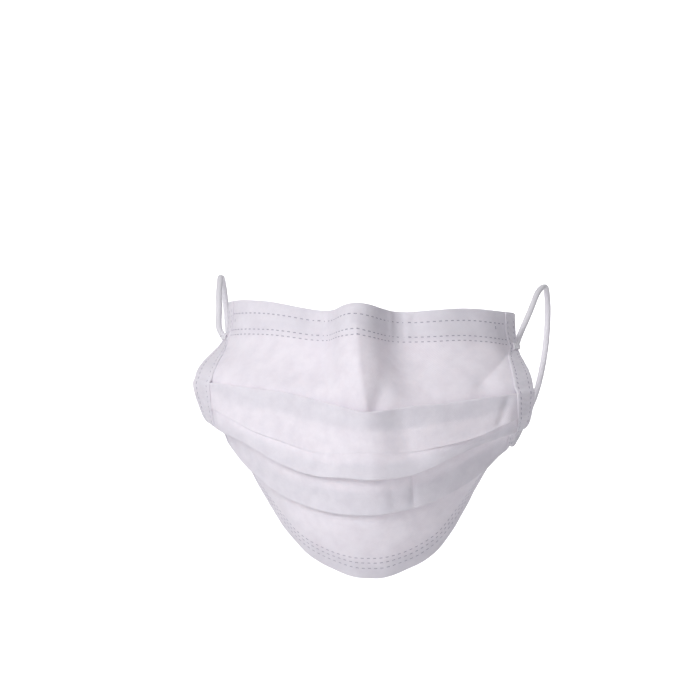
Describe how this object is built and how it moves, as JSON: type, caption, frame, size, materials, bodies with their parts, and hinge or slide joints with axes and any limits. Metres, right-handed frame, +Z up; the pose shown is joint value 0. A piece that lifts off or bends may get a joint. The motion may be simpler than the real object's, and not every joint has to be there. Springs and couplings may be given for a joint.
{
  "type": "surgical face mask, worn form",
  "caption": "Pleated surgical face mask in its worn form, with nose wire, side bindings and elastic ear loops.",
  "frame": {"origin": "middle of the top edge, on the inner side, where the mask lies on the bridge of the nose", "axes": "+Z up, the wearer looks along -Y, +X towards the wearer's left ear; X is the mask's width"},
  "size_m": [0.1622, 0.1239, 0.1425],
  "materials": {
    "nonwoven": "matt",
    "binding": "matt",
    "wire": "satin",
    "elastic": "matt",
    "weld": "satin"
  },
  "bodies": {
    "root": {"mask_body": "nonwoven", "nose_wire": "wire", "side_binding_left": "binding", "side_binding_right": "binding", "loop_weld_upper_left": "elastic", "loop_weld_upper_right": "elastic", "loop_weld_lower_left": "elastic", "loop_weld_lower_right": "elastic", "ear_loop_left": "elastic", "ear_loop_right": "elastic"}
  },
  "joints": []
}
